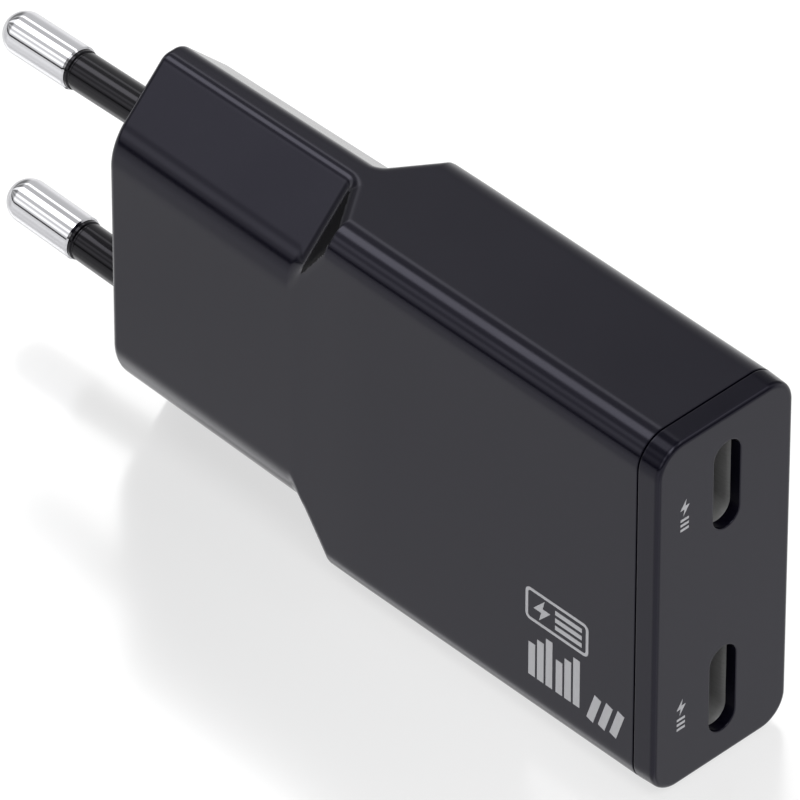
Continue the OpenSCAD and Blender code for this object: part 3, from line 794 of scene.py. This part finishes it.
def light_ramp(t, value, stops):
    """A ramp with a stop at each (position, level)."""
    ramp = t.add("ShaderNodeValToRGB")
    t.link(value, ramp.inputs["Fac"])
    elements = ramp.color_ramp.elements
    while len(elements) > 1:
        elements.remove(elements[-1])
    for i, (position, level) in enumerate(stops):
        element = elements[0] if i == 0 else elements.new(position)
        element.position = position
        element.color = (level, level, level, 1)
    return ramp.outputs["Color"]


def make_world():
    world = bpy.data.worlds.new("studio")
    world.use_nodes = True
    t = Tree(world.node_tree)
    out = t.add("ShaderNodeOutputWorld")
    background = t.add("ShaderNodeBackground")
    t.link(background.outputs[0], out.inputs["Surface"])
    coords = t.add("ShaderNodeTexCoord")
    split = t.add("ShaderNodeSeparateXYZ")
    t.link(coords.outputs["Generated"], split.inputs[0])
    towards_front = t.math("MULTIPLY", split.outputs["Y"], -1.0)
    angle = t.math("ARCTAN2", towards_front, split.outputs["Z"])
    top = max(level for _, level in STUDIO)
    across = light_ramp(t, t.remap(angle, -math.pi, math.pi, 0.0, 1.0),
                        [((degrees + 180) / 360, level / top) for degrees, level in STUDIO])
    along = light_ramp(t, t.remap(split.outputs["X"], -1.0, 1.0, 0.0, 1.0),
                       [((x + 1) / 2, level) for x, level in STUDIO_ALONG_X])
    t.link(t.math("MULTIPLY", across, along), background.inputs["Color"])
    background.inputs["Strength"].default_value = top
    bpy.context.scene.world = world


FLOOR_RADIUS, WALL_RADIUS, WALL_HEIGHT = 2.6, 2.5, 5    # metres
# The floor glows, but less in an oval round the charger, which is a painted shadow. Its middle and half
# sizes are in millimetres.
PAINTED_SHADOW_MIDDLE, PAINTED_SHADOW_SIZE = (-12, -24, 0), (92, 58, 1000)
FLOOR_GLOW, PAINTED_SHADOW_GLOW = 0.70, 0.53


def make_floor():
    """A glossy white table top under the narrow side, with a painted shadow round the charger."""
    mesh = bpy.data.meshes.new("floor")
    bm = bmesh.new()
    bmesh.ops.create_circle(bm, cap_ends=True, segments=96, radius=FLOOR_RADIUS)
    bm.to_mesh(mesh)
    bm.free()
    floor = bpy.data.objects.new("floor", mesh)
    floor.location = (0, 0, -HALF_W * MM)
    bpy.context.scene.collection.objects.link(floor)
    mat, t, shader = new_material("floor_white")
    grain = t.noise(0.02, 2.0)
    t.link(t.mix(grain, (0.19, 0.19, 0.19), (0.20, 0.20, 0.20)), shader.inputs["Base Color"])
    t.link(t.spread(grain, 0.20, 0.21), shader.inputs["Roughness"])
    shader.inputs["IOR"].default_value = 2.8
    shader.inputs["Emission Color"].default_value = (1, 1, 1, 1)
    coords = t.add("ShaderNodeTexCoord")
    place = t.add("ShaderNodeMapping", vector_type="TEXTURE")
    place.inputs["Location"].default_value = Vector(PAINTED_SHADOW_MIDDLE) * MM
    place.inputs["Scale"].default_value = Vector(PAINTED_SHADOW_SIZE) * MM
    t.link(coords.outputs["Object"], place.inputs["Vector"])
    # Painted shadow: the glow drops in the oval round the charger.
    painted_shadow_fade = t.add("ShaderNodeTexGradient", gradient_type="QUADRATIC_SPHERE")
    t.link(place.outputs["Vector"], painted_shadow_fade.inputs["Vector"])
    glow_with_painted_shadow = t.remap(painted_shadow_fade.outputs["Fac"], 0.0, 1.0, FLOOR_GLOW, PAINTED_SHADOW_GLOW)
    t.link(glow_with_painted_shadow, shader.inputs["Emission Strength"])
    mesh.materials.append(mat)


def make_backdrop():
    """A white wall far round the table, which only the camera sees."""
    mesh = bpy.data.meshes.new("backdrop")
    bm = bmesh.new()
    bmesh.ops.create_cone(bm, cap_ends=False, segments=96, radius1=WALL_RADIUS, radius2=WALL_RADIUS,
                          depth=WALL_HEIGHT)
    bm.to_mesh(mesh)
    bm.free()
    wall = bpy.data.objects.new("backdrop", mesh)
    bpy.context.scene.collection.objects.link(wall)
    mat, t, shader = new_material("backdrop_white")
    grain = t.noise(0.01, 2.0)
    t.link(t.mix(grain, (0.8, 0.8, 0.8), (0.82, 0.82, 0.82)), shader.inputs["Base Color"])
    shader.inputs["Emission Color"].default_value = (1, 1, 1, 1)
    shader.inputs["Emission Strength"].default_value = 1.0
    mesh.materials.append(mat)
    for ray in ("visible_diffuse", "visible_glossy", "visible_transmission", "visible_shadow"):
        setattr(wall, ray, False)


def main():
    bpy.context.scene.view_settings.view_transform = "Standard"
    body_plastic = moulded_plastic("housing_plastic", (0.0016, 0.0014, 0.0042), (0.0024, 0.0020, 0.0054),
                                   0.16, ior=1.308, grain=0.12, tint=(0.93, 0.91, 1.13), wear=0.05)
    sleeve_plastic = moulded_plastic("sleeve_plastic", (0.002, 0.002, 0.0022), (0.004, 0.004, 0.0045), 0.12,
                                     ior=1.27, grain=0.05, tint=(0.98, 0.95, 1.08))
    pin_metal = plated_metal("pin_metal", (0.50, 0.50, 0.52), (0.54, 0.54, 0.56), 0.07, (0.05, 1, 1), 0.05)
    port_steel = plated_metal("port_steel", (0.18, 0.18, 0.18), (0.22, 0.22, 0.22), 0.6, LONG_ALONG_X,
                              metallic=0.3)
    ink = printed_ink("printed_ink", (0.42, 0.42, 0.44))
    # Painted shade: the flare walls are the housing plastic made near-black and less glossy, so that they
    # look as dark as a wall seen at a grazing angle.
    painted_shade_wall_plastic = moulded_plastic("flare_wall_painted_shade", (0.0009, 0.0008, 0.0014), (0.0014, 0.0013, 0.0020),
                                   0.5, ior=1.14, grain=0.05)
    build_housing(body_plastic, painted_shade_wall_plastic)
    build_cap(body_plastic)
    for side in (UPPER, LOWER):
        build_pin(side, pin_metal)
        build_sleeve(side, sleeve_plastic)
        build_usb_shell(side, port_steel)
    build_marks(ink)
    materials = inner_materials()
    materials.update(sleeve_plastic=sleeve_plastic, housing_plastic=body_plastic, pin_metal=pin_metal,
                     port_steel=port_steel)
    dress_cad_nodes(materials)
    make_world()
    make_floor()
    make_backdrop()


main()
bpy.context.view_layer.update()
